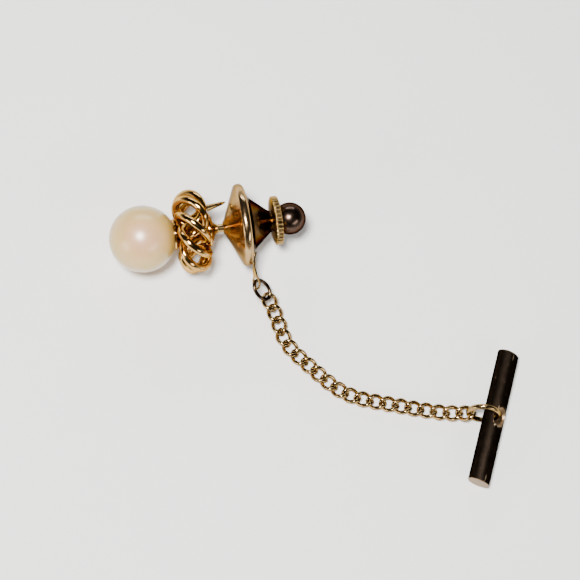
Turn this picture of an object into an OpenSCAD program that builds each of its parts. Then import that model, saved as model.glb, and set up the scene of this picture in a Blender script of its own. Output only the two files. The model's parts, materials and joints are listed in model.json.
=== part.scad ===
// Tie tack: pearl head on a knot of three wire loops, ball-lock clutch, curb chain and toggle bar.
// Millimetres. +X runs along the post from pearl to clutch, +Z is up, the back plate's rear face is X = 0.

/* [Head] */
// Pearl diameter
pearl_d = 8.0; // [7:0.1:8.2]
// Distance from the back plate to the pearl's centre
pearl_x = 8.47; // [8.45:0.01:8.6]
// Wire diameter of the knot's loops
knot_wire_d = 0.95; // [0.85:0.05:1]
// Ring radius that the loops wind round
knot_ring_r = 3.12; // [3.1:0.01:3.15]
// Radius of the winding itself
knot_wind_r = 1.5; // [1.45:0.01:1.5]

/* [Post] */
// Post diameter
post_d = 1.0; // [0.9:0.01:1.04]
// Post length behind the back plate
post_len = 8.93; // [8.4:0.01:8.95]
// Depth of the grip grooves
groove_depth = 0.09; // [0.05:0.01:0.12]

/* [Clutch] */
// Flange diameter
flange_d = 9.96; // [9.8:0.02:10]
// Knob ring diameter
knob_d = 5.88; // [5:0.02:6.2]
// Ball end diameter
cap_d = 3.9; // [3.6:0.02:4]
// Number of ridges round the knob ring
ridges = 34; // [24:1:40]
// Lock ball diameter
lock_ball_d = 0.9; // [0.88:0.005:0.9]

/* [Chain] */
// Wire diameter of a small link
link_wire_d = 0.46; // [0.44:0.01:0.47]
// Outside width of a small link
link_w = 1.98; // [1.97:0.01:1.99]
// Outside length of a small link
link_len = 2.55; // [2.54:0.01:2.56]
// Twist of a link's ends out of its own plane
link_twist = 48; // [47:1:49]

/* [Toggle] */
// Bar diameter
bar_d = 2.6; // [2.4:0.05:2.6]
// Bar length
bar_len = 16.3; // [12:0.1:18]
// Slant of the bar's cut ends
bar_slant = 9; // [0:1:15]
// Cross hole diameter
bar_hole_d = 1.36; // [1.34:0.01:1.4]

/* [Hidden] */
$fn = 64;

pearl_r = pearl_d / 2;
post_r = post_d / 2;
flange_r = flange_d / 2;
knot_wire_r = knot_wire_d / 2;
knot_x = -2.55;
knot_lobes = 3;
knot_steps = 96;
knot_sides = 10;

links = 20;
link_steps = 24;
link_sides = 8;
link_gap = 0.08;
end_gap = 0.08;
link_a = (link_len - link_wire_d) / 2;
link_b = (link_w - link_wire_d) / 2;
link_pitch = 2 * link_a - link_wire_d - link_gap;

tab_turn = 17;
tab_t = 0.24;
tab_w = 0.9;
neck_x = 4.24;
neck_r = 5.1;
neck_h = 1.2;
neck_w = 0.8;
eye_far = 1.98;
eye_turn = -24.3;
eye_t = 0.21;
eye_out_r = 0.83;
eye_hole_r = 0.612;
seat_far = -0.155;
seat_side = -0.116;
seat_through = -0.02;

big_wire_r = 0.22;
big_a = 1.307;
big_b = 0.958;
big_yaw = -55.575;
big_rise = -23.897;
big_roll = -20.7;

ring_wire_r = 0.32;
ring_r = 1.76;
ring_lift = 27.13;
ring_lean = 15.61;
ring_hook = 49.82;
ring_to_bar = 1.62;
bar_yaw = 64.72;

// Small helpers.

function unit(v) = v / norm(v);

function ease(i, a, b) = let (t = min(1, max(0, (i - a) / (b - a)))) t * t * (3 - 2 * t);

function heading(yaw, rise) = [cos(rise) * cos(yaw), cos(rise) * sin(yaw), sin(rise)];

// Path of the chain: each link has a yaw, a rise and two hinge points.

function link_yaw(i) =
    -71.9 - 11.2 * ease(i, 1, 3.5) + 31.8 * ease(i, 3, 6)
    + 32.2 * ease(i, 8.2, 12.8) + 5.94 * ease(i, 15.5, 20.5);

function link_rise(i) = -17.53 * (1 - ease(i, 1.2, 5.6)) + 21.53 * ease(i, 17, 20.5);

tab_root = [neck_x, -neck_r * cos(tab_turn), -neck_r * sin(tab_turn)];
tab_dir = [0, -cos(tab_turn), -sin(tab_turn)];
tab_side = [0, -sin(tab_turn), cos(tab_turn)];
eye_axis = cos(eye_turn) * [1, 0, 0] + sin(eye_turn) * tab_side;
eye_side = cos(eye_turn) * tab_side - sin(eye_turn) * [1, 0, 0];
big_dir = heading(big_yaw, big_rise);
big_near =
    tab_root + (eye_far + seat_far) * tab_dir + seat_side * eye_side + seat_through * eye_axis;
big_mid = big_near + big_a * big_dir;
first_hinge = big_mid + (big_a - big_wire_r - end_gap) * big_dir;

function hinge_at(i) =
    i == 0 ? first_hinge : hinge_at(i - 1) + link_pitch * heading(link_yaw(i), link_rise(i));

function link_mid(i) = (hinge_at(i - 1) + hinge_at(i)) / 2;

last_hinge = hinge_at(links);
hook_point = last_hinge - (ring_wire_r + end_gap) * heading(link_yaw(links), link_rise(links));

// Plane of the ring: ring_e1 points from its centre to the bar's axis, ring_e2 along the cross hole.

bar_dir = [cos(bar_yaw), sin(bar_yaw), 0];
bar_side = [sin(bar_yaw), -cos(bar_yaw), 0];
hole_dir = sin(ring_lift) * bar_side + cos(ring_lift) * [0, 0, 1];
ring_e1 = cos(ring_lift) * bar_side - sin(ring_lift) * [0, 0, 1];
ring_e2 = cos(ring_lean) * hole_dir + sin(ring_lean) * bar_dir;
ring_mid = hook_point + ring_r * (cos(ring_hook) * ring_e1 + sin(ring_hook) * ring_e2);
bar_mid = ring_mid + ring_to_bar * ring_e1;

// Closed tube through a list of points, with one outward direction for each point.

module closed_tube(path, out, r, sides) {
    n = len(path);
    points = [
        for (i = [0 : n - 1])
            let (t = unit(path[(i + 1) % n] - path[(i + n - 1) % n]))
            let (u = unit(out[i] - (out[i] * t) * t))
            let (v = cross(t, u))
            for (j = [0 : sides - 1])
                path[i] + r * (cos(360 * j / sides) * u + sin(360 * j / sides) * v)
    ];
    faces = [
        for (i = [0 : n - 1])
            for (j = [0 : sides - 1])
                for (half = [0, 1])
                    let (a = i * sides + j)
                    let (b = i * sides + (j + 1) % sides)
                    let (c = ((i + 1) % n) * sides + (j + 1) % sides)
                    let (d = ((i + 1) % n) * sides + j)
                    half == 0 ? [a, b, c] : [a, c, d]
    ];
    polyhedron(points = points, faces = faces, convexity = 6);
}

// Open tube with flat ends, for the spring.

module open_tube(path, out, r, sides) {
    n = len(path);
    points = [
        for (i = [0 : n - 1])
            let (t = unit(path[min(i + 1, n - 1)] - path[max(i - 1, 0)]))
            let (u = unit(out[i] - (out[i] * t) * t))
            let (v = cross(t, u))
            for (j = [0 : sides - 1])
                path[i] + r * (cos(360 * j / sides) * u + sin(360 * j / sides) * v)
    ];
    walls = [
        for (i = [0 : n - 2])
            for (j = [0 : sides - 1])
                for (half = [0, 1])
                    let (a = i * sides + j)
                    let (b = i * sides + (j + 1) % sides)
                    let (c = (i + 1) * sides + (j + 1) % sides)
                    let (d = (i + 1) * sides + j)
                    half == 0 ? [a, b, c] : [a, c, d]
    ];
    first = [for (j = [0 : sides - 1]) sides - 1 - j];
    last = [for (j = [0 : sides - 1]) (n - 1) * sides + j];
    polyhedron(points = points, faces = concat(walls, [first, last]), convexity = 6);
}

// Turned piece about the post's axis: the profile is a list of [x, radius].

module turned(profile) {
    rotate([0, 90, 0])
        rotate([0, 0, 90])
            rotate_extrude()
                polygon([for (p = profile) [p[1], p[0]]]);
}

module along_x(x, r, h) {
    translate([x, 0, 0])
        rotate([0, 90, 0])
            cylinder(r = r, h = h);
}

// Head.

module pearl() {
    color([0.93, 0.89, 0.82])
        difference() {
            translate([-pearl_x, 0, 0])
                sphere(r = pearl_r);
            along_x(-pearl_x + 0.9, 0.37, pearl_r);
        }
}

module pearl_cup() {
    seat_r = pearl_r + 0.015;
    color([0.83, 0.66, 0.33])
        turned(concat(
            [
                for (i = [0 : 8])
                    let (t = 26 - i * 21 / 8)
                    [seat_r * cos(t) - pearl_x, seat_r * sin(t)]
            ],
            [
                [-7.4, 0.34], [-7.4, 0], [-0.95, 0], [-0.95, 0.8],
                [-4, 0.8], [-4.3, 1.5], [-4.62, 1.85]
            ]
        ));
}

function knot_phase(k, t) = knot_lobes * t + 75 + 120 * k;

function knot_point(k, t) =
    let (f = knot_phase(k, t))
    let (rho = knot_ring_r + knot_wind_r * cos(f))
    [knot_x + knot_wind_r * sin(f), rho * cos(t), rho * sin(t)];

function knot_out(k, t) =
    let (f = knot_phase(k, t))
    [sin(f), cos(f) * cos(t), cos(f) * sin(t)];

module knot_loop(k) {
    color([0.85, 0.68, 0.36])
        closed_tube(
            [for (i = [0 : knot_steps - 1]) knot_point(k, 360 * i / knot_steps)],
            [for (i = [0 : knot_steps - 1]) knot_out(k, 360 * i / knot_steps)],
            knot_wire_r,
            knot_sides
        );
}

module knot_loop_1() {
    knot_loop(0);
}

module knot_loop_2() {
    knot_loop(1);
}

module knot_loop_3() {
    knot_loop(2);
}

module back_plate() {
    color([0.83, 0.66, 0.33])
        turned([
            [-0.94, 0.32], [-0.94, 1.85], [-0.66, 2.05], [-0.42, 2.05], [-0.14, 1.52],
            [0, 1.12], [0, 0.32]
        ]);
}

// The post keeps one radius up to bare_x, then narrows a little to its point.

bare_x = 1.25;
point_x = post_len - 0.75;

function shaft_r(x) = post_r - 0.02 * (x - bare_x) / (point_x - bare_x);

module post() {
    color([0.82, 0.67, 0.38])
        turned(concat(
            [
                [-0.92, 0], [-0.92, 0.3], [0.01, 0.3], [0.01, 0.95], [0.1, 0.8],
                [0.26, 0.62], [0.5, post_r], [bare_x, post_r]
            ],
            [
                for (x = [1.6 : 1.8 : 7])
                    for (step = [-1, 0, 1])
                        [x + 0.1 * step, shaft_r(x) - (step == 0 ? groove_depth : 0)]
            ],
            [[point_x, shaft_r(point_x)], [post_len - 0.08, 0.12], [post_len, 0]]
        ));
}

module spur() {
    color([0.82, 0.67, 0.38])
        rotate([18, 0, 0])
            translate([-0.45, 2.56, 0])
                rotate([0, 90, 0])
                    rotate([-10.6, 0, 0]) {
                        cylinder(r1 = 0.42, r2 = 0.2, h = 2);
                        translate([0, 0, 2])
                            cylinder(r1 = 0.2, r2 = 0.03, h = 0.42);
                    }
}

// Clutch.

module nose_plate() {
    color([0.58, 0.5, 0.36])
        turned([
            [1.23, 0.58], [1.23, 0.78], [1.42, 0.92], [3.03, 4.68], [3.1, 4.82],
            [3.25, flange_r - 0.08], [3.42, flange_r - 0.01], [3.62, flange_r],
            [3.84, flange_r - 0.05], [4.02, flange_r - 0.18], [4.12, flange_r - 0.36],
            [4.15, flange_r - 0.52], [4.1, 4.3], [3.87, 4.32], [3.87, 4.62], [3.5, 4.62],
            [3.33, 4.56], [1.8, 0.97], [1.8, 0.58]
        ]);
}

module housing() {
    color([0.55, 0.47, 0.34])
        turned([
            [3.52, 4.6], [3.85, 4.6], [3.85, 4.27], [4.2, 4.05], [4.53, 3.3],
            [6.82, 1.31], [7, 1.31], [7, 1.03], [6.62, 1.03], [4.27, 3.06],
            [3.88, 3.95], [3.52, 4.24]
        ]);
}

// The tab's strip lies on the flange's back, then twists a little into an eye past the rim.

module tab_frame() {
    rotate([tab_turn, 0, 0])
        rotate([90, 0, 0])
            children();
}

module neck_frame() {
    translate([neck_x, 0, neck_r])
        children();
}

module eye_disc(r, h) {
    rotate([0, 0, eye_turn])
        translate([0, 0, eye_far])
            rotate([0, 90, 0])
                cylinder(r = r, h = h, center = true);
}

module chain_tab() {
    color([0.78, 0.64, 0.38])
        tab_frame()
            difference() {
                union() {
                    translate([0, tab_w / 2, 0])
                        rotate([90, 0, 0])
                            linear_extrude(height = tab_w)
                                polygon([
                                    [4.55, 3.34], [4.225, 4.09], [4.17, 4.28], [4.17, 4.6],
                                    [4.1, 5], [4.08, 5.2], [4.38, 5.22], [4.4, 5.02],
                                    [4.46, 4.64], [4.46, 4.35], [4.49, 4.2], [4.8, 3.46]
                                ]);
                    neck_frame()
                        linear_extrude(height = neck_h, twist = -eye_turn, slices = 12)
                            square([tab_t, neck_w], center = true);
                    neck_frame()
                        eye_disc(eye_out_r, eye_t);
                }
                neck_frame()
                    eye_disc(eye_hole_r, 2);
            }
}

// Lock works: a loose wedge race, a ball cage on the post and the spring that shuts it.

module race() {
    color([0.62, 0.62, 0.64])
        turned([
            [1.87, 0.62], [1.87, 1], [2.3, 1.94], [4, 1.94], [4, 1.66],
            [2.2, 1.05], [2, 0.62]
        ]);
}

ball_x = 3.44;
ball_r = lock_ball_d / 2;
ball_ring_r = 0.97;

module lock_ball(k) {
    color([0.75, 0.75, 0.78])
        rotate([30 + 120 * k, 0, 0])
            translate([ball_x, 0, ball_ring_r])
                sphere(r = ball_r);
}

module lock_ball_1() {
    lock_ball(0);
}

module lock_ball_2() {
    lock_ball(1);
}

module lock_ball_3() {
    lock_ball(2);
}

module cage_tube() {
    color([0.72, 0.6, 0.38])
        difference() {
            turned([
                [2.75, 0.59], [2.75, 0.9], [2.85, 0.96], [4.06, 0.96], [4.06, 1.5],
                [4.34, 1.5], [4.34, 0.96], [9.1, 0.96], [9.1, 0.59]
            ]);
            for (k = [0 : 2])
                rotate([30 + 120 * k, 0, 0])
                    translate([ball_x, 0, 0])
                        cylinder(r = ball_r + 0.03, h = 1.5);
        }
}

module lock_spring() {
    turns = 3.5;
    steps = 70;
    r = 1.22;
    x0 = 4.48;
    x1 = 5.98;
    color([0.7, 0.7, 0.72])
        open_tube(
            [
                for (i = [0 : steps])
                    let (t = 360 * turns * i / steps)
                    [x0 + (x1 - x0) * i / steps, r * cos(t), r * sin(t)]
            ],
            [
                for (i = [0 : steps])
                    let (t = 360 * turns * i / steps)
                    [0, cos(t), sin(t)]
            ],
            0.11,
            8
        );
}

module knurled_ring() {
    r = knob_d / 2 - 0.13;
    color([0.8, 0.66, 0.38])
        difference() {
            union() {
                turned([
                    [7.08, 0], [7.08, 1.36], [7.14, r - 0.3], [7.24, r - 0.08], [7.34, r],
                    [8, r], [8.1, r - 0.1], [8.15, r - 0.3], [8.15, 1.4], [8.28, 1.4], [8.28, 0]
                ]);
                for (k = [0 : ridges - 1])
                    rotate([360 * k / ridges, 0, 0])
                        translate([7.3, 0, r])
                            rotate([0, 90, 0])
                                cylinder(r = 0.13, h = 0.74, $fn = 16);
            }
            along_x(7, 0.97, 2);
        }
}

module ball_cap() {
    mid_x = 9.33;
    out_r = cap_d / 2;
    in_r = out_r - 0.3;
    front_x = 8.3 - mid_x;
    out_end = acos(front_x / out_r);
    in_end = acos((front_x + 0.3) / in_r);
    color([0.42, 0.36, 0.3])
        turned(concat(
            [for (i = [0 : 28]) [mid_x + out_r * cos(i * out_end / 28), out_r * sin(i * out_end / 28)]],
            [[8.3, 1.29], [8.6, 1.29]],
            [for (i = [28 : -1 : 0]) [mid_x + in_r * cos(i * in_end / 28), in_r * sin(i * in_end / 28)]]
        ));
}

module cap_bush() {
    color([0.72, 0.6, 0.38])
        turned([[8.31, 0.97], [8.31, 1.25], [8.95, 1.25], [8.95, 0.97]]);
}

// Chain.

function oval(a, b, twist, t) =
    let (f = twist * cos(t))
    [a * cos(t), b * sin(t) * cos(f), b * sin(t) * sin(f)];

module oval_link(a, b, twist, r) {
    path = [for (i = [0 : link_steps - 1]) oval(a, b, twist, 360 * (i + 0.5) / link_steps)];
    closed_tube(path, path, r, link_sides);
}

module tab_link() {
    color([0.5, 0.42, 0.28])
        translate(big_mid)
            rotate([0, -big_rise, big_yaw])
                rotate([big_roll, 0, 0])
                    oval_link(big_a, big_b, 0, big_wire_r);
}

module chain_link(i) {
    color([0.8, 0.66, 0.38])
        translate(link_mid(i))
            rotate([0, -link_rise(i), link_yaw(i)])
                oval_link(link_a, link_b, -link_twist, link_wire_d / 2);
}

module chain_link_01() {
    chain_link(1);
}

module chain_link_02() {
    chain_link(2);
}

module chain_link_03() {
    chain_link(3);
}

module chain_link_04() {
    chain_link(4);
}

module chain_link_05() {
    chain_link(5);
}

module chain_link_06() {
    chain_link(6);
}

module chain_link_07() {
    chain_link(7);
}

module chain_link_08() {
    chain_link(8);
}

module chain_link_09() {
    chain_link(9);
}

module chain_link_10() {
    chain_link(10);
}

module chain_link_11() {
    chain_link(11);
}

module chain_link_12() {
    chain_link(12);
}

module chain_link_13() {
    chain_link(13);
}

module chain_link_14() {
    chain_link(14);
}

module chain_link_15() {
    chain_link(15);
}

module chain_link_16() {
    chain_link(16);
}

module chain_link_17() {
    chain_link(17);
}

module chain_link_18() {
    chain_link(18);
}

module chain_link_19() {
    chain_link(19);
}

module chain_link_20() {
    chain_link(20);
}

// Toggle. Each frame's own X, Y and Z go to three unit vectors.

module in_frame(origin, x, y, z) {
    multmatrix([
        [x[0], y[0], z[0], origin[0]],
        [x[1], y[1], z[1], origin[1]],
        [x[2], y[2], z[2], origin[2]],
        [0, 0, 0, 1]
    ])
        children();
}

module bar_ring() {
    color([0.82, 0.7, 0.44])
        in_frame(ring_mid, ring_e1, ring_e2, cross(ring_e1, ring_e2))
            rotate_extrude()
                translate([ring_r, 0])
                    circle(r = ring_wire_r);
}

module toggle_bar() {
    half = bar_len / 2;
    hole_r = bar_hole_d / 2;
    color([0.24, 0.2, 0.17])
        in_frame(bar_mid, bar_dir, cross(hole_dir, bar_dir), hole_dir)
            difference() {
                rotate([0, 90, 0])
                    cylinder(r = bar_d / 2, h = bar_len + 2, center = true);
                translate([half, 0, 0])
                    rotate([0, 0, -bar_slant])
                        translate([0, -3, -3])
                            cube([6, 6, 6]);
                translate([-half, 0, 0])
                    rotate([0, 0, -bar_slant])
                        translate([-6, -3, -3])
                            cube([6, 6, 6]);
                cylinder(r = hole_r, h = 2 * bar_d, center = true);
                for (side = [0, 1])
                    mirror([0, 0, side])
                        translate([0, 0, bar_d / 2 - 0.5])
                            cylinder(r1 = hole_r, r2 = hole_r + 0.8, h = 0.8);
            }
}

pearl();
pearl_cup();
knot_loop_1();
knot_loop_2();
knot_loop_3();
back_plate();
post();
spur();
nose_plate();
housing();
chain_tab();
race();
lock_ball_1();
lock_ball_2();
lock_ball_3();
cage_tube();
lock_spring();
knurled_ring();
ball_cap();
cap_bush();
tab_link();
chain_link_01();
chain_link_02();
chain_link_03();
chain_link_04();
chain_link_05();
chain_link_06();
chain_link_07();
chain_link_08();
chain_link_09();
chain_link_10();
chain_link_11();
chain_link_12();
chain_link_13();
chain_link_14();
chain_link_15();
chain_link_16();
chain_link_17();
chain_link_18();
chain_link_19();
chain_link_20();
bar_ring();
toggle_bar();
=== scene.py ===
"""Looks of the tie tack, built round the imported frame. Shapes are made in mm and stored in m."""

import json
import math

import bmesh
import bpy
import numpy as np
from mathutils import Matrix, Vector


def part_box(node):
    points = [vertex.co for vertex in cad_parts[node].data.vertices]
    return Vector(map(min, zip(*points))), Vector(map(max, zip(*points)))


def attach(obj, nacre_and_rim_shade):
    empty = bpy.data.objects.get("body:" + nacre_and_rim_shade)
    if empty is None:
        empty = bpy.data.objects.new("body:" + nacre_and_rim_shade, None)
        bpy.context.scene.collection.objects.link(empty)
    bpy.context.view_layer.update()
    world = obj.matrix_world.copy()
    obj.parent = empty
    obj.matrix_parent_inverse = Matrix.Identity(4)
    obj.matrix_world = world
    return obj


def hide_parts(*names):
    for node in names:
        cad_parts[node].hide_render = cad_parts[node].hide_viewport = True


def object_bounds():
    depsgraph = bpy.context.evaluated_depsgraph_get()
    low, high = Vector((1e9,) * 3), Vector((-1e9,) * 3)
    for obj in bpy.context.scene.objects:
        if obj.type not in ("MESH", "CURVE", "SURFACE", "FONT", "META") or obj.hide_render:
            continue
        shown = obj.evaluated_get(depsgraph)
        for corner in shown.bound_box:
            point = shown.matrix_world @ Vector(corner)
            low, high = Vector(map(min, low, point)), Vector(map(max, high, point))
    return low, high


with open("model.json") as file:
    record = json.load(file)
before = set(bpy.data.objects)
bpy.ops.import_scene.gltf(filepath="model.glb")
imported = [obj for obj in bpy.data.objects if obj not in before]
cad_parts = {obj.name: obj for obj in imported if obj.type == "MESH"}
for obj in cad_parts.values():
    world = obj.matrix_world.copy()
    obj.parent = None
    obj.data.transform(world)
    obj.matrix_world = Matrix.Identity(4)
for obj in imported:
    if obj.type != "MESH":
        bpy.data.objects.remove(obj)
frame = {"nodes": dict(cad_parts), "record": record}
cad_box = [list(corner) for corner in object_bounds()]
MM = 0.001
JOINTS = {j["name"]: j for j in frame["record"]["behaviour"]["joints"]}
MOUNTS = {m["name"]: m for m in frame["record"]["mounts"]}


def hinge(name):
    """A joint's point, in millimetres."""
    return np.array(JOINTS[name]["pos_m"]) / MM


def unit(v):
    v = np.asarray(v, float)
    return v / np.linalg.norm(v)


# Camera, lights, floor

look_at = Vector((7.95, -8.52, -1.15)) * MM
cam_right = Vector((0.980, -0.176, 0.095)).normalized()
cam_back = Vector((-0.139, -0.259, 0.956)).normalized()
cam_up = cam_back.cross(cam_right).normalized()
cam_right = cam_up.cross(cam_back).normalized()
VIEW_ANGLE = math.radians(22)
VIEW_WIDTH = 69.25 * MM
distance = VIEW_WIDTH / 2 / math.tan(VIEW_ANGLE / 2)

cam_data = bpy.data.cameras.new("camera")
cam_data.angle = VIEW_ANGLE
cam_data.clip_start = 0.005
cam_data.clip_end = 10
camera = bpy.data.objects.new("camera", cam_data)
bpy.context.scene.collection.objects.link(camera)
turn = Matrix((cam_right, cam_up, cam_back)).transposed().to_4x4()
camera.matrix_world = Matrix.Translation(look_at + cam_back * distance) @ turn
bpy.context.scene.camera = camera


def area_light(name, place, size, power, colour=(1, 1, 1), target=look_at, shape="RECTANGLE", size_y=None):
    data = bpy.data.lights.new(name, "AREA")
    data.shape = shape
    data.size = size
    if shape == "RECTANGLE":
        data.size_y = size_y or size
    data.energy = power
    data.color = colour
    lamp = bpy.data.objects.new(name, data)
    bpy.context.scene.collection.objects.link(lamp)
    place = Vector(place)
    lamp.location = place
    lamp.rotation_euler = (target - place).to_track_quat("-Z", "Y").to_euler()
    return lamp


flash_place = look_at + 0.30 * (cam_back + 0.16 * cam_up - 0.12 * cam_right)
area_light("flash", flash_place, 0.075, 2.3, (1.0, 0.985, 0.96), shape="DISK")
area_light("fill", (0.22, -0.32, 0.22), 0.26, 0.55, (1.0, 0.97, 0.93), size_y=0.07)
area_light("back", (0.06, 0.36, 0.18), 0.34, 0.6, (0.96, 0.98, 1.0), size_y=0.06)
area_light("side", (-0.36, -0.14, 0.12), 0.16, 0.5, (1.0, 0.96, 0.90), size_y=0.10)


def make_world():
    world = bpy.data.worlds.new("studio")
    bpy.context.scene.world = world
    world.use_nodes = True
    nodes, links = world.node_tree.nodes, world.node_tree.links
    nodes.clear()
    out = nodes.new("ShaderNodeOutputWorld")
    back = nodes.new("ShaderNodeBackground")
    ramp = nodes.new("ShaderNodeValToRGB")
    split = nodes.new("ShaderNodeSeparateXYZ")
    coord = nodes.new("ShaderNodeTexCoord")
    links.new(coord.outputs["Generated"], split.inputs[0])
    links.new(split.outputs["Z"], ramp.inputs["Fac"])
    ramp.color_ramp.elements[0].position = 0.0
    ramp.color_ramp.elements[0].color = (0.80, 0.76, 0.70, 1)
    ramp.color_ramp.elements[1].position = 0.30
    ramp.color_ramp.elements[1].color = (0.02, 0.017, 0.015, 1)
    links.new(ramp.outputs["Color"], back.inputs["Color"])
    back.inputs["Strength"].default_value = 1.0
    links.new(back.outputs[0], out.inputs[0])


make_world()

# Materials


class Shader:
    """A small builder for one node material. Sizes in it are in millimetres on the object."""

    def __init__(self, name):
        self.mat = bpy.data.materials.new(name)
        self.mat.use_nodes = True
        tree = self.mat.node_tree
        self.nodes, self.links = tree.nodes, tree.links
        self.bsdf = next(n for n in self.nodes if n.type == "BSDF_PRINCIPLED")
        coord = self.nodes.new("ShaderNodeTexCoord")
        scale = self.nodes.new("ShaderNodeMapping")
        scale.inputs["Scale"].default_value = (1000, 1000, 1000)
        self.links.new(coord.outputs["Object"], scale.inputs["Vector"])
        self.mm = scale.outputs["Vector"]

    def set(self, **values):
        for key, value in values.items():
            self.bsdf.inputs[key.replace("_", " ")].default_value = value
        return self

    def stretched(self, factors, turn=(0, 0, 0)):
        node = self.nodes.new("ShaderNodeMapping")
        node.inputs["Scale"].default_value = factors
        node.inputs["Rotation"].default_value = turn
        self.links.new(self.mm, node.inputs["Vector"])
        return node.outputs["Vector"]

    def noise(self, size, detail=3, rough=0.5, vector=None, distortion=0):
        node = self.nodes.new("ShaderNodeTexNoise")
        node.inputs["Scale"].default_value = 1 / size
        node.inputs["Detail"].default_value = detail
        node.inputs["Roughness"].default_value = rough
        node.inputs["Distortion"].default_value = distortion
        self.links.new(vector or self.mm, node.inputs["Vector"])
        return node.outputs["Fac"]

    def ramp(self, fac, stops):
        """Colour that changes along a list of (place, colour) stops."""
        node = self.nodes.new("ShaderNodeValToRGB")
        elements = node.color_ramp.elements
        while len(elements) < len(stops):
            elements.new(0.5)
        for element, (place, colour) in zip(elements, stops):
            element.position = place
            element.color = (*colour, 1)
        self.links.new(fac, node.inputs["Fac"])
        return node.outputs["Color"]

    def span(self, fac, low, high, start=0.0, end=1.0):
        """Maps start..end to low..high, held at both ends."""
        node = self.nodes.new("ShaderNodeMapRange")
        node.inputs["From Min"].default_value = start
        node.inputs["From Max"].default_value = end
        node.inputs["To Min"].default_value = low
        node.inputs["To Max"].default_value = high
        self.links.new(fac, node.inputs["Value"])
        return node.outputs["Result"]

    def mix(self, fac, a, b):
        node = self.nodes.new("ShaderNodeMix")
        node.data_type = "RGBA"
        sockets = [s for s in node.inputs if s.type == "RGBA"]
        self.links.new(fac, node.inputs[0])
        for socket, value in zip(sockets, (a, b)):
            if isinstance(value, tuple):
                socket.default_value = (*value, 1)
            else:
                self.links.new(value, socket)
        return next(s for s in node.outputs if s.type == "RGBA")

    def scaled(self, output, factor):
        node = self.nodes.new("ShaderNodeMath")
        node.operation = "MULTIPLY"
        self.links.new(output, node.inputs[0])
        node.inputs[1].default_value = factor
        return node.outputs[0]

    def colour(self, output):
        self.links.new(output, self.bsdf.inputs["Base Color"])

    def rough(self, output):
        self.links.new(output, self.bsdf.inputs["Roughness"])

    def bump(self, output, depth):
        """depth is the bump's full height in millimetres."""
        node = self.nodes.new("ShaderNodeBump")
        node.inputs["Distance"].default_value = depth * MM
        node.inputs["Strength"].default_value = 1.0
        self.links.new(output, node.inputs["Height"])
        old = self.bsdf.inputs["Normal"]
        if old.is_linked:
            self.links.new(old.links[0].from_socket, node.inputs["Normal"])
        self.links.new(node.outputs["Normal"], old)

    def edge_wear_and_crease_shade(self):
        """Pointiness: high on raised edges, used for worn edges; low in creases, used for painted crease
        shade.
        """
        node = self.nodes.new("ShaderNodeNewGeometry")
        return node.outputs["Pointiness"]

    def rim(self, blend):
        """0 where the surface faces the view, 1 at its outline."""
        node = self.nodes.new("ShaderNodeLayerWeight")
        node.inputs["Blend"].default_value = blend
        return node.outputs["Facing"]


SCRATCH = 0.0012


def metal(name, base, dark, rough_low, rough_high, edge, dent=0.004, paint_shade_in_creases=True):
    """Polished plate with drifting colour, dark spots, painted shade in its creases, fine scratches and
    shallow dents.

    edge tints what the metal mirrors at a glancing angle. dent is in millimetres.
    """
    s = Shader(name).set(Metallic=1.0, Specular_IOR_Level=0.5)
    s.bsdf.inputs["Specular Tint"].default_value = (*edge, 1.0)
    drift = s.noise(1.7, 3)
    colour = s.mix(s.span(drift, 0, 1, 0.35, 0.7), base, tuple(c * 0.82 for c in base))
    spots = s.span(s.noise(0.32, 5, 0.62), 0, 1, 0.56, 0.74)
    colour = s.mix(s.scaled(spots, 0.55), colour, dark)
    if paint_shade_in_creases:
        # painted shade: creases (low pointiness) are darkened towards the dark colour
        painted_crease_shade = s.span(s.edge_wear_and_crease_shade(), 0.75, 0, 0.40, 0.50)
        colour = s.mix(painted_crease_shade, colour, dark)
    s.colour(colour)
    haze = s.noise(0.9, 4, 0.6)
    s.rough(s.span(haze, rough_low, rough_high, 0.35, 0.7))
    s.bump(s.noise(0.9, 2), dent)
    fine = s.noise(0.05, 2, 0.5, vector=s.stretched((1, 7, 1), (0.4, 0.2, 0.8)))
    s.bump(fine, SCRATCH)
    return s.mat


def pearl_material():
    """Pink-cream nacre with a soft bright highlight, and painted rim shade: its colour is painted darker and
    yellower towards its outline.
    """
    s = Shader("nacre")
    s.set(IOR=1.5, Subsurface_Weight=0.06, Subsurface_Scale=0.0008)
    s.bsdf.inputs["Subsurface Radius"].default_value = (1.0, 0.75, 0.5)
    s.set(Coat_Weight=1.0, Coat_Roughness=0.31, Coat_IOR=1.6, Sheen_Weight=0.03, Sheen_Roughness=0.4)
    # painted rim shade: darker, yellower colour where the surface turns away from the view
    nacre_and_rim_shade = s.ramp(s.rim(0.45), [
        (0.0, (0.66, 0.36, 0.20)),
        (0.18, (0.62, 0.40, 0.15)),
        (0.50, (0.50, 0.33, 0.030)),
        (1.0, (0.22, 0.13, 0.004)),
    ])
    cloud = s.span(s.noise(3.1, 4, 0.55, distortion=0.6), 0, 1, 0.38, 0.66)
    nacre_and_rim_shade = s.mix(s.scaled(cloud, 0.35), nacre_and_rim_shade, (0.60, 0.34, 0.20))
    rings = s.noise(0.5, 3, 0.5, vector=s.stretched((1.0, 0.25, 0.25)))
    nacre_and_rim_shade = s.mix(s.scaled(s.span(rings, 0, 1, 0.4, 0.7), 0.12), nacre_and_rim_shade, (0.40, 0.30, 0.09))
    s.colour(nacre_and_rim_shade)
    s.rough(s.span(s.noise(1.4, 3), 0.34, 0.46, 0.35, 0.7))
    s.bump(s.noise(0.9, 3), 0.006)
    s.bump(s.noise(0.10, 2), 0.0012)
    return s.mat


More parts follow.
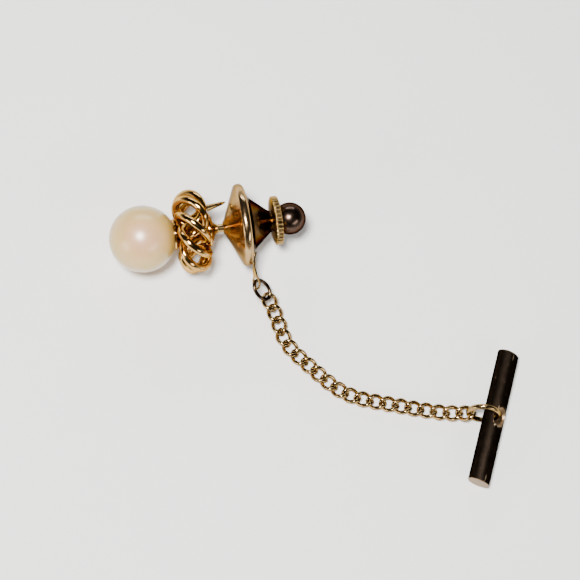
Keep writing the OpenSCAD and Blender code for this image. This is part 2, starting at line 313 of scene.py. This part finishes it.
def bar_material():
    """Dark plate with fine slanting brush marks, pits, bright specks that are painted glints, and brassy worn
    edges.
    """
    s = Shader("brushed_dark_plate").set(Metallic=1.0)
    s.bsdf.inputs["Specular Tint"].default_value = (0.10, 0.08, 0.06, 1.0)
    brush = s.noise(0.12, 4, 0.65, vector=s.stretched((5, 0.7, 1), (0, 0, math.radians(38))))
    stray = s.noise(0.16, 2, 0.4, vector=s.stretched((10, 0.8, 0.8), (0, 0, math.radians(-24))))
    cloud = s.noise(1.6, 4, 0.6)
    colour = s.mix(s.span(cloud, 0, 1, 0.35, 0.68), (0.006, 0.004, 0.003), (0.015, 0.010, 0.007))
    colour = s.mix(s.span(brush, 0, 0.7, 0.46, 0.70), colour, (0.034, 0.025, 0.018))
    colour = s.mix(s.span(stray, 0, 0.6, 0.70, 0.78), colour, (0.12, 0.085, 0.05))
    # painted glints: small bright specks mixed into the colour
    painted_glint_specks = s.span(s.noise(0.17, 3, 0.6), 0, 1, 0.72, 0.77)
    colour = s.mix(painted_glint_specks, colour, (0.75, 0.64, 0.48))
    worn = s.span(s.edge_wear_and_crease_shade(), 0, 0.7, 0.54, 0.62)
    colour = s.mix(worn, colour, (0.50, 0.37, 0.23))
    s.colour(colour)
    s.rough(s.span(brush, 0.30, 0.52, 0.3, 0.75))
    s.bump(brush, 0.012)
    s.bump(s.noise(0.09, 3, 0.6), 0.008)
    s.bump(stray, 0.006)
    return s.mat


def bar_end_material():
    """Bare brass with saw marks, inside the cross hole."""
    s = Shader("sawn_brass").set(Metallic=1.0)
    saw = s.noise(0.07, 3, 0.6, vector=s.stretched((1, 1, 6), (0, 0, 0.2)))
    colour = s.mix(s.span(saw, 0, 1, 0.35, 0.7), (0.30, 0.20, 0.11), (0.16, 0.10, 0.05))
    s.colour(colour)
    s.rough(s.span(saw, 0.3, 0.5, 0.3, 0.7))
    s.bump(saw, 0.010)
    return s.mat


def floor_material():
    s = Shader("pale_floor").set(Specular_IOR_Level=0.25)
    grain = s.noise(40, 3)
    s.colour(s.mix(s.span(grain, 0, 1, 0.3, 0.7), (0.965, 0.965, 0.96), (0.945, 0.945, 0.94)))
    s.rough(s.span(s.noise(4, 2), 0.55, 0.7))
    return s.mat


GOLD = metal("polished_gold", (0.66, 0.41, 0.14), (0.07, 0.024, 0.005), 0.08, 0.17, (0.40, 0.24, 0.12))
GOLD_TRIM = metal("gold_trim", (0.50, 0.33, 0.13), (0.06, 0.03, 0.010), 0.13, 0.25, (0.40, 0.28, 0.16))
CHAIN_GOLD = metal("chain_gold", (0.40, 0.27, 0.12), (0.030, 0.017, 0.008), 0.12, 0.22, (0.28, 0.20, 0.12))
# painted reflection: the housing's very dark base colour paints the dark reflections it shows
CLUTCH = metal(
    "polished_plate_painted_dark", (0.10, 0.060, 0.029), (0.018, 0.010, 0.005), 0.12, 0.22, (0.17, 0.13, 0.10),
    dent=0.006,
)
# painted reflection: the nose plate is the same metal as the housing, given a lighter copy to paint the
# brighter reflections on it
NOSE = metal(
    "nose_plate_gold", (0.50, 0.33, 0.16), (0.10, 0.055, 0.022), 0.14, 0.26, (0.36, 0.33, 0.29),
    dent=0.008,
)
# painted reflection: the ball's very dark base colour paints the dark reflections it shows
BALL = metal(
    "mirror_plate_painted_dark", (0.085, 0.055, 0.042), (0.02, 0.012, 0.010), 0.20, 0.28, (0.14, 0.12, 0.10),
    dent=0.003, paint_shade_in_creases=False,
)
DARK_LINK = metal(
    "dark_link_plate", (0.075, 0.050, 0.030), (0.014, 0.009, 0.006), 0.13, 0.25, (0.16, 0.12, 0.09)
)
STEEL = metal(
    "plain_steel", (0.50, 0.49, 0.48), (0.16, 0.14, 0.13), 0.18, 0.30, (0.8, 0.8, 0.8), paint_shade_in_creases=False
)
NACRE = pearl_material()
BRUSHED = bar_material()
SAWN = bar_end_material()

# Mesh helpers


def piece(name, verts, faces, nacre_and_rim_shade, material, nodes, sharp=None):
    """One object from points in millimetres. It rides on a body and stands in for CAD nodes."""
    mesh = bpy.data.meshes.new(name)
    mesh.from_pydata([tuple(np.asarray(v, float) * MM) for v in verts], [], faces)
    mesh.validate()
    bm = bmesh.new()
    bm.from_mesh(mesh)
    bmesh.ops.remove_doubles(bm, verts=bm.verts, dist=1e-8)
    bmesh.ops.recalc_face_normals(bm, faces=bm.faces)
    bm.to_mesh(mesh)
    bm.free()
    for polygon in mesh.polygons:
        polygon.use_smooth = True
    if sharp:
        mesh.set_sharp_from_angle(angle=math.radians(sharp))
    for one in material if isinstance(material, (list, tuple)) else [material]:
        mesh.materials.append(one)
    obj = bpy.data.objects.new(name, mesh)
    bpy.context.scene.collection.objects.link(obj)
    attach(obj, nacre_and_rim_shade)
    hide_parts(*nodes)
    return obj


def frames(path, outs, closed):
    """Tangent, outward and sideways directions at each point of a path."""
    path = np.asarray(path, float)
    if closed:
        tangent = np.roll(path, -1, 0) - np.roll(path, 1, 0)
    else:
        tangent = np.gradient(path, axis=0)
    tangent /= np.linalg.norm(tangent, axis=1)[:, None]
    outs = np.asarray(outs, float)
    outs = outs - (outs * tangent).sum(1)[:, None] * tangent
    outs /= np.linalg.norm(outs, axis=1)[:, None]
    return tangent, outs, np.cross(tangent, outs)


def tube(path, outs, radius, sides, closed=True):
    """Round wire along a path. radius is a number or one number a point."""
    path = np.asarray(path, float)
    _, outs, sideways = frames(path, outs, closed)
    radii = np.broadcast_to(radius, len(path))
    angle = np.linspace(0, 2 * np.pi, sides, endpoint=False)
    verts = (
        path[:, None]
        + radii[:, None, None] * np.cos(angle)[None, :, None] * outs[:, None]
        + radii[:, None, None] * np.sin(angle)[None, :, None] * sideways[:, None]
    ).reshape(-1, 3)
    count = len(path)
    faces = []
    for i in range(count if closed else count - 1):
        k = (i + 1) % count
        for j in range(sides):
            n = (j + 1) % sides
            faces.append((i * sides + j, i * sides + n, k * sides + n, k * sides + j))
    if not closed:
        faces.append(tuple(range(sides)))
        faces.append(tuple((count - 1) * sides + j for j in range(sides)))
    return verts, faces


def fillet(profile, radius, steps=5, closed=True):
    """Rounds each corner of a profile with a small arc."""
    pts = [np.asarray(p, float) for p in profile]
    radii = radius if isinstance(radius, (list, tuple)) else [radius] * len(pts)
    out = []
    for i, p in enumerate(pts):
        if not closed and i in (0, len(pts) - 1):
            out.append(p)
            continue
        a, b = pts[i - 1], pts[(i + 1) % len(pts)]
        la, lb = np.linalg.norm(a - p), np.linalg.norm(b - p)
        cut = min(radii[i], 0.45 * la, 0.45 * lb)
        if cut < 1e-6:
            out.append(p)
            continue
        start, end = p + (a - p) / la * cut, p + (b - p) / lb * cut
        for t in np.linspace(0, 1, steps):
            out.append((1 - t) ** 2 * start + 2 * t * (1 - t) * p + t * t * end)
    return np.array(out)


def turned(profile, segments=128, closed=True, swell=None):
    """Surface of revolution about the post's axis. swell(x, r, angle) may change the radius."""
    profile = np.asarray(profile, float)
    angles = np.linspace(0, 2 * np.pi, segments, endpoint=False)
    verts = []
    for x, r in profile:
        for t in angles:
            rr = swell(x, r, t) if swell else r
            verts.append((x, rr * math.cos(t), rr * math.sin(t)))
    count = len(profile)
    faces = []
    for i in range(count if closed else count - 1):
        k = (i + 1) % count
        for j in range(segments):
            n = (j + 1) % segments
            faces.append((i * segments + j, i * segments + n, k * segments + n, k * segments + j))
    return verts, faces


def capped(profile):
    """An open profile that starts and ends on the axis, as points with the axis radius kept tiny."""
    return [(x, max(r, 1e-5)) for x, r in profile]


# Head

PEARL_X, PEARL_R = -8.47, 4.0


def make_pearl():
    bm = bmesh.new()
    bmesh.ops.create_icosphere(bm, subdivisions=6, radius=1)
    verts = []
    for v in bm.verts:
        d = np.array(v.co)
        soft = 0.010 * math.sin(2.1 * d[1] + 1.3) * math.cos(1.7 * d[2] - 0.6) - 0.008 * d[0] ** 2
        verts.append((PEARL_X + (PEARL_R - 0.012 + soft) * d[0], *((PEARL_R - 0.012 + soft) * d[1:])))
    faces = [tuple(v.index for v in f.verts) for f in bm.faces]
    bm.free()
    return piece("pearl_skin", verts, faces, "head", NACRE, ["pearl"])


make_pearl()

KNOT_X, KNOT_R, KNOT_WIND, KNOT_WIRE = -2.55, 3.12, 1.5, 0.472


def make_knot_loop(k):
    t = np.linspace(0, 2 * np.pi, 480, endpoint=False)
    f = 3 * t + math.radians(75 + 120 * k)
    rho = KNOT_R + KNOT_WIND * np.cos(f)
    path = np.c_[KNOT_X + KNOT_WIND * np.sin(f), rho * np.cos(t), rho * np.sin(t)]
    outs = np.c_[np.sin(f), np.cos(f) * np.cos(t), np.cos(f) * np.sin(t)]
    wire = KNOT_WIRE - 0.006 * (1 + np.sin(5 * t + k)) / 2
    verts, faces = tube(path, outs, wire, 28)
    return piece(f"knot_wire_{k + 1}", verts, faces, "head", GOLD, [f"knot_loop_{k + 1}"])


for k in range(3):
    make_knot_loop(k)

cup = [(-7.4, 1e-4), (-7.4, 0.34)]
for step in range(9):
    angle = math.radians(5 + step * 21 / 8)
    cup.append((4.015 * math.cos(angle) + PEARL_X, 4.015 * math.sin(angle)))
cup += [(-4.62, 1.85), (-4.3, 1.5), (-4.0, 0.8), (-0.95, 0.8), (-0.95, 1e-4)]
verts, faces = turned(fillet(cup, 0.06, 4, closed=False), 96, closed=False)
piece("pearl_seat", verts, faces, "head", GOLD, ["pearl_cup"])

plate = [(-0.94, 0.32), (-0.94, 1.85), (-0.66, 2.05), (-0.42, 2.05), (-0.14, 1.52), (0, 1.12), (0, 0.32)]
verts, faces = turned(fillet(plate, 0.08, 6), 128)
piece("knot_back_plate", verts, faces, "head", GOLD, ["back_plate"])


def make_post():
    """Grooved pin: one radius up to bare_x, then a slight taper to the point."""
    length, r, bare_x = 8.93, 0.5, 1.25
    point_x = length - 0.75
    profile = [
        (-0.92, 1e-4), (-0.92, 0.3), (0.01, 0.3), (0.01, 0.95), (0.1, 0.8), (0.26, 0.62),
        (0.5, r), (bare_x, r),
    ]
    for k in range(4):
        x = 1.6 + 1.8 * k
        here = r - 0.02 * (x - bare_x) / (point_x - bare_x)
        profile += [(x - 0.1, here), (x, here - 0.09), (x + 0.1, here)]
    profile += [(point_x, r - 0.02), (length - 0.08, 0.12), (length, 1e-4)]
    verts, faces = turned(fillet(profile, 0.03, 4, closed=False), 64, closed=False)
    return piece("pin_post", verts, faces, "head", GOLD_TRIM, ["post"])


make_post()


def make_spur():
    """Sharp point beside the post."""
    base = np.array([-0.45, 2.56, 0.0])
    lean = math.radians(10.6)
    reach = np.array([0, 0.02, 0.3, 0.7, 1.1, 1.5, 1.8, 2.0, 2.1, 2.2, 2.3, 2.38, 2.42])
    path = base + reach[:, None] * np.array([math.cos(lean), math.sin(lean), 0])
    radius = np.where(reach < 2, 0.42 - 0.11 * reach, 0.2 - 0.405 * (reach - 2))
    radius[0] = 0.39
    roll = math.radians(18)
    turn_x = np.array([[1, 0, 0], [0, math.cos(roll), -math.sin(roll)], [0, math.sin(roll), math.cos(roll)]])
    verts, faces = tube(path, np.tile([0, 0, 1.0], (len(path), 1)), radius, 32, closed=False)
    return piece("turn_spur", verts @ turn_x.T, faces, "head", GOLD_TRIM, ["spur"], sharp=50)


make_spur()

# Clutch

FLANGE_R = 4.98
nose = [
    (1.23, 0.58), (1.23, 0.78), (1.42, 0.92), (2.2, 2.76), (3.03, 4.68), (3.1, 4.82),
    (3.25, FLANGE_R - 0.08), (3.42, FLANGE_R - 0.01), (3.62, FLANGE_R),
    (3.84, FLANGE_R - 0.05), (4.02, FLANGE_R - 0.18), (4.12, FLANGE_R - 0.36),
    (4.15, FLANGE_R - 0.52), (4.1, 4.3), (3.87, 4.32), (3.87, 4.62), (3.5, 4.62),
    (3.33, 4.56), (1.8, 0.97), (1.8, 0.58),
]
verts, faces = turned(fillet(nose, 0.09, 5), 160)
piece("clutch_nose", verts, faces, "shell", NOSE, ["nose_plate"])

shell = [
    (3.52, 4.6), (3.85, 4.6), (3.85, 4.27), (4.2, 4.05), (4.53, 3.3), (6.82, 1.31), (7, 1.31),
    (7, 1.03), (6.62, 1.03), (4.27, 3.06), (3.88, 3.95), (3.52, 4.24),
]
verts, faces = turned(fillet(shell, 0.12, 6), 160)
piece("clutch_shell", verts, faces, "shell", CLUTCH, ["housing"])

KNOB_R, RIDGES = 2.94, 34


def ridge(x, r, angle):
    """Round ridges on the knob ring's rim."""
    base = KNOB_R - 0.13
    on = max(0.0, min(1.0, (r - (base - 0.14)) / 0.12))
    wave = abs(math.cos(RIDGES * angle / 2)) ** 0.8
    edge = max(0.0, min(1.0, (x - 7.2) / 0.1)) * max(0.0, min(1.0, (8.12 - x) / 0.1))
    return r + on * edge * (0.13 * wave - 0.04 * (1 - wave))


ring_base = KNOB_R - 0.13
knob = [
    (7.08, 0.97), (7.08, 1.36), (7.14, ring_base - 0.3), (7.24, ring_base - 0.08), (7.34, ring_base),
    (7.5, ring_base), (7.7, ring_base), (7.9, ring_base), (8.0, ring_base), (8.1, ring_base - 0.1),
    (8.15, ring_base - 0.3), (8.15, 1.4), (8.28, 1.4), (8.28, 0.97),
]
verts, faces = turned(fillet(knob, 0.06, 5), RIDGES * 16, swell=ridge)
piece("knob_ring", verts, faces, "knob", GOLD_TRIM, ["knurled_ring"])


def make_ball():
    mid, r_out, r_in, front = 9.33, 1.95, 1.65, 8.3

    def arc(radius, end, steps):
        angles = [i * end / steps for i in range(steps + 1)]
        return [(mid + radius * math.cos(t), radius * math.sin(t)) for t in angles]

    profile = arc(r_out, math.acos((front - mid) / r_out), 56)
    profile += [(front, 1.29), (front + 0.3, 1.29)]
    profile += arc(r_in, math.acos((front + 0.3 - mid) / r_in), 40)[::-1]
    verts, faces = turned(capped(profile), 128, closed=False)
    return piece("knob_ball", verts, faces, "knob", BALL, ["ball_cap"])


make_ball()


def solid(name, verts, faces):
    """A closed mesh object used only to cut or to join."""
    mesh = bpy.data.meshes.new(name)
    mesh.from_pydata([tuple(v) for v in np.asarray(verts, float) * MM], [], faces)
    bm = bmesh.new()
    bm.from_mesh(mesh)
    bmesh.ops.remove_doubles(bm, verts=bm.verts, dist=1e-7)
    bmesh.ops.recalc_face_normals(bm, faces=bm.faces)
    bm.to_mesh(mesh)
    bm.free()
    obj = bpy.data.objects.new(name, mesh)
    bpy.context.scene.collection.objects.link(obj)
    return obj


def carve(obj, tool, operation):
    """Applies an exact boolean of a tool to an object and removes the tool."""
    cut = obj.modifiers.new("cut", "BOOLEAN")
    cut.operation = operation
    cut.solver = "EXACT"
    cut.object = tool
    bpy.context.view_layer.update()
    result = bpy.data.meshes.new_from_object(obj.evaluated_get(bpy.context.evaluated_depsgraph_get()))
    obj.modifiers.clear()
    obj.data = result
    bpy.data.objects.remove(tool)
    return result


def make_tab():
    """Strip on the flange's back that twists into an eye."""
    turn, eye_turn = math.radians(17), math.radians(-24.3)
    neck_x, neck_c, eye_far, eye_out, eye_in, thick = 4.24, 5.1, 1.98, 0.825, 0.615, 0.205
    down = np.array([0, -math.cos(turn), -math.sin(turn)])
    side = np.array([0, -math.sin(turn), math.cos(turn)])
    ahead = np.array([1.0, 0, 0])
    root = neck_x * ahead + neck_c * down
    stops = [(4.66, 3.42), (4.36, 4.14), (4.315, 4.32), (4.315, 4.62), (4.26, 4.95)]
    stations = [(x * ahead + c * down, 0.0, 0.87, 0.26) for x, c in stops]
    for step in np.linspace(0.02, 1, 22):
        stations.append((root + 1.3 * step * down, min(1.0, 1.3 * step / 1.2) * eye_turn, 0.8, 0.235))
    path = np.array([one[0] for one in stations])
    tangent = np.gradient(path, axis=0)
    tangent /= np.linalg.norm(tangent, axis=1)[:, None]
    verts, faces = [], []
    for (centre, twist, wide, thin), ahead_here in zip(stations, tangent):
        flat = unit(np.cross(side, ahead_here))
        if flat @ ahead < 0:
            flat = -flat
        normal = math.cos(twist) * flat + math.sin(twist) * side
        width = -math.sin(twist) * flat + math.cos(twist) * side
        corners = [(-1, -1), (1, -1), (1, 1), (-1, 1)]
        section = fillet([(b * wide / 2, h * thin / 2) for b, h in corners], 0.05, 4)
        verts += [centre + b * width + h * normal for b, h in section]
    m = len(section)
    for i in range(len(stations) - 1):
        for j in range(m):
            n = (j + 1) % m
            faces.append((i * m + j, i * m + n, (i + 1) * m + n, (i + 1) * m + j))
    faces.append(tuple(range(m)))
    faces.append(tuple((len(stations) - 1) * m + j for j in range(m)))
    normal = math.cos(eye_turn) * ahead + math.sin(eye_turn) * side
    width = -math.sin(eye_turn) * ahead + math.cos(eye_turn) * side
    eye_mid = root + eye_far * down
    half = thick / 2
    ring = fillet([(eye_in, -half), (eye_out, -half), (eye_out, half), (eye_in, half)], 0.05, 4)
    plug = [(0.0, -0.4), (eye_in, -0.4), (eye_in, 0.4), (0.0, 0.4)]

    def spin(profile, closed):
        points, quads, count, rounds = [], [], len(profile), 72
        for i in range(rounds):
            t = 2 * math.pi * i / rounds
            spoke = math.cos(t) * down + math.sin(t) * width
            points += [eye_mid + r * spoke + h * normal for r, h in profile]
        for i in range(rounds):
            k = (i + 1) % rounds
            for j in range(count if closed else count - 1):
                n = (j + 1) % count
                quads.append((i * count + j, i * count + n, k * count + n, k * count + j))
        return points, quads

    tab = piece("tab_strip", verts, faces, "shell", GOLD_TRIM, ["chain_tab"])
    carve(tab, solid("plug", *spin(plug, False)), "DIFFERENCE")
    result = carve(tab, solid("eye", *spin(ring, True)), "UNION")
    for polygon in result.polygons:
        polygon.use_smooth = True
    result.set_sharp_from_angle(angle=math.radians(40))
    return tab


make_tab()

# Chain


def link_frame(near, far):
    """Unit directions of a link: along, level sideways, up."""
    along = unit(far - near)
    level = unit(np.cross([0, 0, 1], along))
    return along, level, np.cross(along, level)


def oval(a, b, twist, steps):
    t = np.linspace(0, 2 * np.pi, steps, endpoint=False)
    f = np.radians(twist) * np.cos(t)
    return np.c_[a * np.cos(t), b * np.sin(t) * np.cos(f), b * np.sin(t) * np.sin(f)]


LINK_A, LINK_B, LINK_WIRE, LINK_TWIST = 1.045, 0.76, 0.226, -48
LINK_COUNT = 20


def make_link(i, near, far):
    along, level, up = link_frame(near, far)
    path = oval(LINK_A, LINK_B, LINK_TWIST, 96)
    verts, faces = tube(path, path, LINK_WIRE, 18)
    z = verts[:, 2]
    flat = np.abs(z).max() - 0.035 - 0.012 * math.sin(3.7 * i)
    over = np.abs(z) > flat
    verts[:, 2] = np.where(over, np.sign(z) * (flat + 0.03 * np.tanh((np.abs(z) - flat) / 0.06)), z)
    turn = np.array([along, level, up])
    return piece(
        f"curb_link_{i:02d}", verts @ turn + (near + far) / 2, faces,
        f"link_{i:02d}", CHAIN_GOLD, [f"chain_link_{i:02d}"],
    )


hinges = [hinge(f"link_swing_{i:02d}") for i in range(1, LINK_COUNT + 1)]
last_along = unit(hinges[-1] - hinges[-2])
pitch = np.linalg.norm(hinges[2] - hinges[1])

BIG_A, BIG_B, BIG_WIRE, BIG_ROLL = 1.307, 0.958, 0.217, math.radians(-20.7)


def make_tab_link():
    near = hinge("tab_swing")
    along, level, up = link_frame(near, hinges[0])
    level, up = (
        math.cos(BIG_ROLL) * level + math.sin(BIG_ROLL) * up,
        -math.sin(BIG_ROLL) * level + math.cos(BIG_ROLL) * up,
    )
    path = oval(BIG_A, BIG_B, 0, 112)
    verts, faces = tube(path, path, BIG_WIRE, 22)
    middle = near + BIG_A * along
    return piece(
        "tab_oval_link", verts @ np.array([along, level, up]) + middle, faces,
        "first_link", DARK_LINK, ["tab_link"],
    )


make_tab_link()

# Toggle: the bar's frame comes from its mount and its hinge

bar_mid = hinge("bar_swing")
hole_dir = unit(JOINTS["bar_swing"]["axis"])
bar_dir = unit(MOUNTS["toggle"]["axis"])
ring_e1 = np.cross(bar_dir, hole_dir)
if ring_e1[0] < 0:
    ring_e1 = -ring_e1
LEAN = math.radians(15.61)
ring_e2 = math.cos(LEAN) * hole_dir + math.sin(LEAN) * bar_dir
RING_R, RING_WIRE = 1.76, 0.316
ring_mid = bar_mid - 1.62 * ring_e1

last_box = [np.array(c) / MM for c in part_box(f"chain_link_{LINK_COUNT:02d}")]
last_mid = (last_box[0] + last_box[1]) / 2
last_far = 2 * last_mid - hinges[-1]
for i in range(1, LINK_COUNT + 1):
    near = hinges[i - 1]
    far = hinges[i] if i < LINK_COUNT else near + pitch * unit(last_far - near)
    make_link(i, near, far)


def make_bar_ring():
    """Jump ring with a butt joint at its top."""
    t = np.linspace(math.radians(121), math.radians(479), 180)
    path = ring_mid + RING_R * (np.cos(t)[:, None] * ring_e1 + np.sin(t)[:, None] * ring_e2)
    verts, faces = tube(path, path - ring_mid, RING_WIRE, 24, closed=False)
    return piece("toggle_ring", verts, faces, "ring", CHAIN_GOLD, ["bar_ring"], sharp=50)


make_bar_ring()

BAR_R, BAR_LEN, BAR_SLANT, HOLE_R = 1.3, 16.3, math.radians(9), 0.68


def make_bar():
    """Round bar with both ends cut aslant and a countersunk cross hole."""
    segments, half, edge = 160, BAR_LEN / 2, 0.06
    middle = [(x, BAR_R) for x in np.linspace(-half + edge, half - edge, 60)]
    rings = [(-half, BAR_R - edge), *middle, (half, BAR_R - edge)]
    verts = []
    for x, r in rings:
        for j in range(segments):
            t = 2 * math.pi * j / segments
            y, z = r * math.cos(t), r * math.sin(t)
            share = min(1, max(0, abs(x) - half + 1.0))
            verts.append((x + math.tan(BAR_SLANT) * y * share, y, z))
    faces = []
    for i in range(len(rings) - 1):
        for j in range(segments):
            n = (j + 1) % segments
            faces.append((i * segments + j, i * segments + n, (i + 1) * segments + n, (i + 1) * segments + j))
    faces.append(tuple(range(segments)))
    faces.append(tuple((len(rings) - 1) * segments + j for j in range(segments)))
    side = np.cross(hole_dir, bar_dir)
    bar = piece(
        "toggle_rod", np.array(verts) @ np.array([bar_dir, side, hole_dir]) + bar_mid, faces,
        "bar", [BRUSHED, SAWN], ["toggle_bar"],
    )
    sink, out = BAR_R - 0.5, BAR_R + 0.3
    drill = [
        (-out, 1e-4), (-out, HOLE_R + 0.8), (-sink, HOLE_R),
        (sink, HOLE_R), (out, HOLE_R + 0.8), (out, 1e-4),
    ]
    cut_verts, cut_faces = turned(drill, 96, closed=False)
    cut_verts = np.array(cut_verts) @ np.array([hole_dir, side, -bar_dir]) + bar_mid
    result = carve(bar, solid("drill", cut_verts, cut_faces), "DIFFERENCE")
    for polygon in result.polygons:
        polygon.use_smooth = True
        place = np.array(polygon.center) / MM - bar_mid
        along = place @ bar_dir
        inside = np.linalg.norm(place - along * bar_dir) < BAR_R - 0.02
        if inside:
            polygon.material_index = 1
    result.set_sharp_from_angle(angle=math.radians(35))
    return bar


make_bar()

# CAD nodes that stay, inside the clutch

INSIDE = {
    STEEL: ("race", "lock_ball_1", "lock_ball_2", "lock_ball_3", "lock_spring"),
    GOLD_TRIM: ("cage_tube", "cap_bush"),
}
for material, nodes in INSIDE.items():
    for node in nodes:
        kept = frame["nodes"][node]
        kept.data.materials.clear()
        kept.data.materials.append(material)

# Floor

FLOOR_Z = cad_box[0][2]
FLOOR_HALF = 1.5


def make_floor():
    mesh = bpy.data.meshes.new("floor")
    corners = [(-1, -1), (1, -1), (1, 1), (-1, 1)]
    mesh.from_pydata([(FLOOR_HALF * x, FLOOR_HALF * y, FLOOR_Z) for x, y in corners], [], [(0, 1, 2, 3)])
    mesh.materials.append(floor_material())
    floor = bpy.data.objects.new("floor", mesh)
    bpy.context.scene.collection.objects.link(floor)


make_floor()

bpy.context.view_layer.update()
